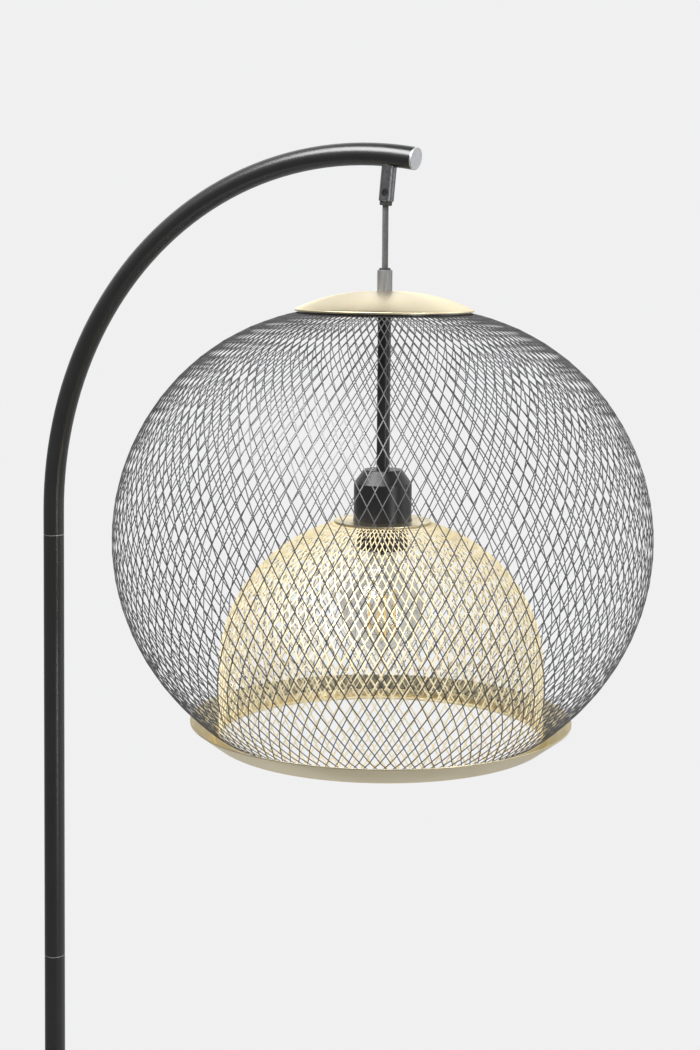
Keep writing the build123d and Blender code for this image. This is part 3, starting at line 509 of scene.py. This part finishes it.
wire_finish, tree, shader, place = new_finish("black_coated_wire")
mottled(tree, shader, grain(tree, place, 60), (0.03, 0.03, 0.031), (0.04, 0.04, 0.042))
shader.inputs["Specular IOR Level"].default_value = 1.0
tree.links.new(level(tree, grain(tree, place, 400, 2), 0.36, 0.46), shader.inputs["Roughness"])
relief(tree, shader, grain(tree, place, 2600, 2), 0.00005, 0.35)

cage_r, crown_h, bowl_h = 224.8, 205.6, 205.4
mouth_turn = acos(139.3 / cage_r)
bowl = [(cage_r * cos(mouth_turn * i / 600), -bowl_h * sin(mouth_turn * i / 600)) for i in range(601)]
shoulder_turn = radians(34.5)
shoulder = [
    (cage_r * cos(shoulder_turn * i / 400), crown_h * sin(shoulder_turn * i / 400)) for i in range(401)
]
slope = atan2(crown_h * cos(shoulder_turn), cage_r * sin(shoulder_turn))
arc_r = 189.0
arc_x, arc_z = shoulder[-1][0] - arc_r * sin(slope), shoulder[-1][1] - arc_r * cos(slope)
crown_turn = asin((72.0 - arc_x) / arc_r)
first_turn = asin((shoulder[-1][0] - arc_x) / arc_r)
crown = [
    (arc_x + arc_r * sin(first_turn + (crown_turn - first_turn) * i / 600),
     arc_z + arc_r * cos(first_turn + (crown_turn - first_turn) * i / 600))
    for i in range(1, 601)
]
cage_columns, mesh_facing, first_knot = 120, -60.3, 11.15
cage_step = diamond_height(cage_columns, 12.6)
start_up = min(range(401), key=lambda i: abs(shoulder[i][1] - first_knot))
start_down = min(range(601), key=lambda i: abs(bowl[i][1] + first_knot))
cage_rows = walked(bowl, start_down, cage_step)[::-1] + walked(shoulder + crown, start_up, cage_step)
cage_mesh = expanded(cage_rows, cage_columns, mesh_facing, strand_width=0.53, gauge=0.48, knot=0.5)
piece("wire_cage", cage_mesh, wire_finish, "shade", ["cage_mesh"], smooth=False)

# ---------------------------------------------------------------- brass band round the mouth
# Flared ring of brass sheet that the cage's wires end in, with an upright flange inside that
# carries the bell's hoop.
band_low, band_lip, band_flange = -169.39, -154.19, -161.59
band_bore, band_throat, band_edge = 138.6, 139.6, 160.0
band_rise = sqrt(1 + (15.2 / 20.4) ** 2)
band_mesh = turned([
    (band_edge, band_lip), (band_edge, band_lip + band_rise), (band_throat, band_low + band_rise),
    (band_throat, band_flange), (band_bore, band_flange), (band_bore, band_low),
    (band_throat, band_low), (band_edge, band_lip),
], 288)
soften(band_mesh, 0.3, 25, 3)
piece("mouth_band_brass", band_mesh, brass_finish, "shade", ["mouth_band"])

# ---------------------------------------------------------------- bell, its hoop and disc
# Inner bell of fine expanded brass, 92 diamonds round, clamped under a flat brass disc above and
# soldered to a wire hoop at its foot.
wire_brass_finish, tree, shader, place = new_finish("bright_brass_wire")
mottled(tree, shader, grain(tree, place, 40, 4), (0.90, 0.78, 0.50), (0.96, 0.86, 0.60))
shader.inputs["Metallic"].default_value = 0.6
tree.links.new(level(tree, grain(tree, place, 500, 2), 0.54, 0.66), shader.inputs["Roughness"])
relief(tree, shader, grain(tree, place, 2600, 2), 0.00004, 0.35)

bell_r, bell_dome, bell_shoulder = 135.9, 125.9, -108.0
neck_turn = acos(38.0 / 136.0)
bell_line = [(bell_r, -167.4 + 59.4 * i / 300) for i in range(301)]
bell_line += [
    (bell_r * cos(neck_turn * i / 900), bell_shoulder + bell_dome * sin(neck_turn * i / 900))
    for i in range(1, 901)
]
bell_columns = 92
bell_rows = walked(bell_line, 0, diamond_height(bell_columns, 9.2))
bell = expanded(bell_rows, bell_columns, mesh_facing, strand_width=0.72, gauge=0.45, knot=0.5)
piece("brass_bell", bell, wire_brass_finish, "shade", ["bell_mesh"], smooth=False)
carry(wire_brass_finish, "bell_hoop")
carry(brass_finish, "bell_disc")

# ---------------------------------------------------------------- lampholder
# Moulded holder under the pressed cup, with a brass screw shell, a sprung centre contact and two
# terminals inside, and a ring nut that clamps the disc from below.
enamel_finish, tree, shader, place = new_finish("black_enamel")
mottled(tree, shader, grain(tree, place, 60), (0.007, 0.007, 0.008), (0.011, 0.011, 0.012))
tree.links.new(level(tree, grain(tree, place, 200, 2), 0.32, 0.38), shader.inputs["Roughness"])
relief(tree, shader, grain(tree, place, 1500, 2), 0.00003, 0.15)
carry(enamel_finish, "lampholder_cup", "stem_tube")

holder_finish, tree, shader, place = new_finish("moulded_black_plastic")
mottled(tree, shader, grain(tree, place, 180), (0.014, 0.014, 0.015), (0.022, 0.022, 0.023))
shader.inputs["Roughness"].default_value = 0.42
relief(tree, shader, grain(tree, place, 1800), 0.00008, 0.35)
carry(holder_finish, "lampholder_body", "ring_nut")

contact_finish, tree, shader, place = new_finish("contact_brass")
mottled(tree, shader, grain(tree, place, 300), (0.66, 0.50, 0.24), (0.74, 0.58, 0.30))
shader.inputs["Metallic"].default_value = 1.0
tree.links.new(level(tree, grain(tree, place, 900), 0.25, 0.4), shader.inputs["Roughness"])
carry(contact_finish, "centre_contact", "terminals")

thread_pitch = 3.646


def threaded(low, high, radius_mm, crest, wall, columns=96, row=0.25):
    """Thin screw shell with a rolled round thread; levels in mm above the floor."""
    rows = [(radius_mm, low + row * i) for i in range(int((high - low) / row) + 1)]
    mesh = turned(rows, columns, onto=Matrix.Translation((shade_x, 0, 0)))
    for corner in mesh.verts:
        x, y, z = corner.co.x - shade_x, corner.co.y, corner.co.z * 1000
        run_out = min(1.0, max(0.0, (z - low - 2.0) / 2.0), max(0.0, (high - 1.0 - z) / 2.0))
        swell = 1 + crest * run_out * cos(2 * pi * z / thread_pitch - atan2(y, x)) / radius_mm
        corner.co = (shade_x + x * swell, y * swell, corner.co.z)
    bmesh.ops.recalc_face_normals(mesh, faces=mesh.faces)
    bmesh.ops.solidify(mesh, geom=mesh.faces, thickness=wall / 1000)
    return mesh


shell_thread = threaded(1243.2, 1266.0, 13.85, 0.3, 0.35)
piece("threaded_shell", shell_thread, contact_finish, "shade", ["lampholder_shell"])

# ---------------------------------------------------------------- bulb
# Clear round bulb with a nickelled screw cap, a glass post inside and four upright amber
# filaments on fine wires. The filaments carry a faint painted glow, so that they show lit through the glass.
cap_metal_finish, tree, shader, place = new_finish("nickelled_cap")
mottled(tree, shader, grain(tree, place, 300), (0.62, 0.61, 0.58), (0.72, 0.71, 0.68))
shader.inputs["Metallic"].default_value = 1.0
tree.links.new(level(tree, grain(tree, place, 900), 0.2, 0.34), shader.inputs["Roughness"])
carry(cap_metal_finish, "bulb_button", "filament_wires")
cap_thread = threaded(1238.1, 1261.05, 12.8, 0.33, 0.2)
piece("bulb_screw_cap", cap_thread, cap_metal_finish, "bulb", ["bulb_cap"])

cement_finish, tree, shader, place = new_finish("black_cap_glass")
mottled(tree, shader, grain(tree, place, 300), (0.012, 0.012, 0.014), (0.02, 0.02, 0.022))
shader.inputs["Roughness"].default_value = 0.2
carry(cement_finish, "bulb_insulator")

glass_finish, tree, shader, place = new_finish("clear_bulb_glass")
shader.inputs["Base Color"].default_value = (0.985, 0.985, 0.98, 1)
shader.inputs["Transmission Weight"].default_value = 1.0
shader.inputs["IOR"].default_value = 1.46
tree.links.new(level(tree, grain(tree, place, 30), 0.0, 0.012), shader.inputs["Roughness"])
relief(tree, shader, grain(tree, place, 45, 1), 0.0003, 0.15)
carry(glass_finish, "bulb_glass", "filament_post")

amber_glow_finish, tree, shader, place = new_finish("amber_filament_painted_glow")
mottled(tree, shader, grain(tree, place, 1500), (0.90, 0.58, 0.16), (0.96, 0.74, 0.30))
shader.inputs["Roughness"].default_value = 0.4
# painted glow: a faint amber emission on the filaments
shader.inputs["Emission Color"].default_value = (1.0, 0.70, 0.30, 1)
shader.inputs["Emission Strength"].default_value = 0.35
relief(tree, shader, grain(tree, place, 2500), 0.0001, 0.4)
carry(amber_glow_finish, "filaments")
